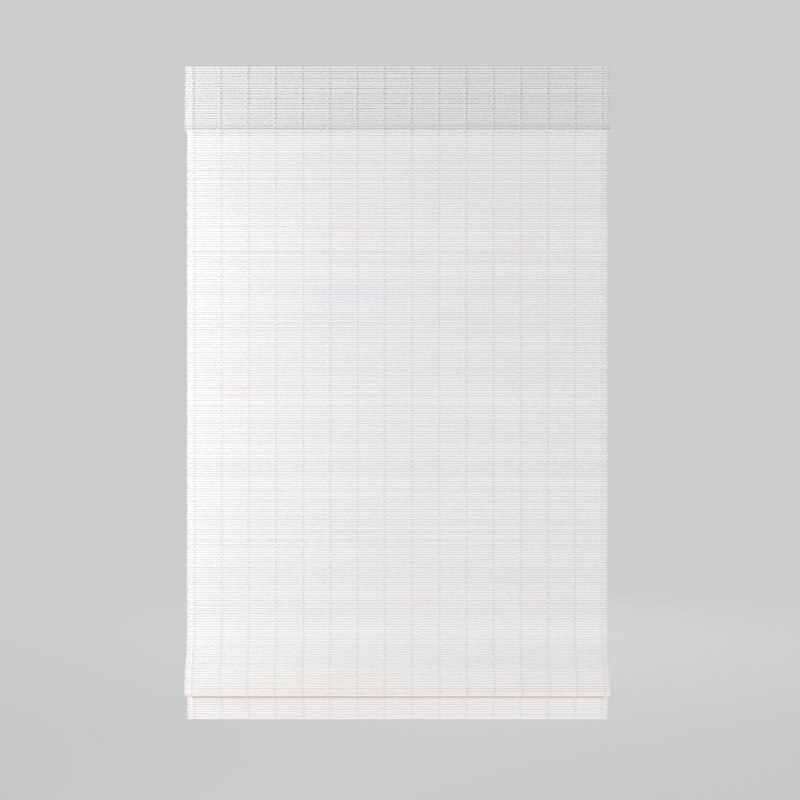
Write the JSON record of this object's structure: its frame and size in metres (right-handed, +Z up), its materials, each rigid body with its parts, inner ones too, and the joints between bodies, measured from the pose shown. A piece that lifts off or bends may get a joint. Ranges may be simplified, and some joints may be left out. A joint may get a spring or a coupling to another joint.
{
  "type": "roman shade",
  "caption": "Cordless roman shade woven from white painted reeds, with a valance over its headrail, a soft fold at the hem and a wooden bottom rail that lifts it.",
  "frame": {"origin": "middle of the plane that the two mounting brackets are screwed up against", "axes": "+Z up, +X along the width to the right as seen from the room, -Y to the room"},
  "size_m": [0.907, 0.0921, 1.398],
  "materials": {
    "white_reeds": "white painted reeds, matt",
    "white_thread": "spun white thread",
    "natural_wood": "pale wood, sanded and unpainted",
    "headrail_paint": "white enamel, satin",
    "white_plastic": "white moulded plastic",
    "bracket_steel": "zinc plated",
    "shaft_steel": "drawn steel",
    "spring_steel": "blued ribbon steel",
    "grey_plastic": "grey moulded plastic",
    "hook_tape": "white hook and loop tape",
    "cord": "braided white cord",
    "clear_plastic": "pale moulded plastic"
  },
  "bodies": {
    "headrail": {"woven_panel": "white_reeds", "front_warp_threads": "white_thread", "back_warp_threads": "white_thread", "valance": "white_reeds", "valance_warp_threads": "white_thread", "headrail_hook_tape": "hook_tape", "panel_loop_tape": "hook_tape", "valance_tape": "hook_tape", "valance_batten": "natural_wood", "headrail": "headrail_paint", "end_cap_left": "white_plastic", "end_cap_right": "white_plastic", "mounting_bracket_left": "bracket_steel", "mounting_bracket_right": "bracket_steel", "spool_cradle_left": "white_plastic", "spool_cradle_right": "white_plastic", "lift_cord_left": "cord", "lift_cord_right": "cord", "motor_spring": "spring_steel", "spring_motor_housing": "white_plastic", "spring_motor_cover": "white_plastic"},
    "rail": {"bottom_rail": "natural_wood", "cord_anchor_left": "clear_plastic", "cord_anchor_right": "clear_plastic"},
    "lift_shaft": {"lift_shaft": "shaft_steel", "cord_spools": "white_plastic", "output_drum": "grey_plastic"},
    "storage_reel": {"storage_reel": "grey_plastic"},
    "ring_row_1": {"cord_rings_row_1": "clear_plastic"},
    "ring_row_2": {"cord_rings_row_2": "clear_plastic"},
    "ring_row_3": {"cord_rings_row_3": "clear_plastic"},
    "ring_row_4": {"cord_rings_row_4": "clear_plastic"},
    "ring_row_5": {"cord_rings_row_5": "clear_plastic"}
  },
  "joints": [
    {"name": "rail_lift", "type": "slide", "parent": "headrail", "child": "rail", "axis": [0, 0, 1], "range_m": [0, 1.13], "deforming": ["woven_panel", "front_warp_threads", "back_warp_threads", "lift_cord_left", "lift_cord_right"]},
    {"name": "ring_row_1_rise", "type": "slide", "parent": "headrail", "child": "ring_row_1", "axis": [0, 0, 1], "range_m": [0, 0.1893]},
    {"name": "ring_row_2_rise", "type": "slide", "parent": "headrail", "child": "ring_row_2", "axis": [0, 0, 1], "range_m": [0, 0.3777]},
    {"name": "ring_row_3_rise", "type": "slide", "parent": "headrail", "child": "ring_row_3", "axis": [0, 0, 1], "range_m": [0, 0.566]},
    {"name": "ring_row_4_rise", "type": "slide", "parent": "headrail", "child": "ring_row_4", "axis": [0, 0, 1], "range_m": [0, 0.7543]},
    {"name": "ring_row_5_rise", "type": "slide", "parent": "headrail", "child": "ring_row_5", "axis": [0, 0, 1], "range_m": [0, 0.9427]},
    {"name": "shaft_turn", "type": "hinge", "parent": "headrail", "child": "lift_shaft", "pos_m": [0, -0.0107, -0.022], "axis": [-1, 0, 0], "range_deg": [0, 6060]},
    {"name": "reel_turn", "type": "hinge", "parent": "headrail", "child": "storage_reel", "pos_m": [0, 0.0083, -0.022], "axis": [1, 0, 0], "range_deg": [0, 6060]}
  ],
  "couplings": [
    {"joint": "ring_row_1_rise", "follows": "rail_lift", "ratio": 0.16667},
    {"joint": "ring_row_2_rise", "follows": "rail_lift", "ratio": 0.33333},
    {"joint": "ring_row_3_rise", "follows": "rail_lift", "ratio": 0.5},
    {"joint": "ring_row_4_rise", "follows": "rail_lift", "ratio": 0.66667},
    {"joint": "ring_row_5_rise", "follows": "rail_lift", "ratio": 0.83333},
    {"joint": "shaft_turn", "follows": "rail_lift", "rad_per_m": 93.458},
    {"joint": "reel_turn", "follows": "rail_lift", "rad_per_m": 93.458}
  ]
}
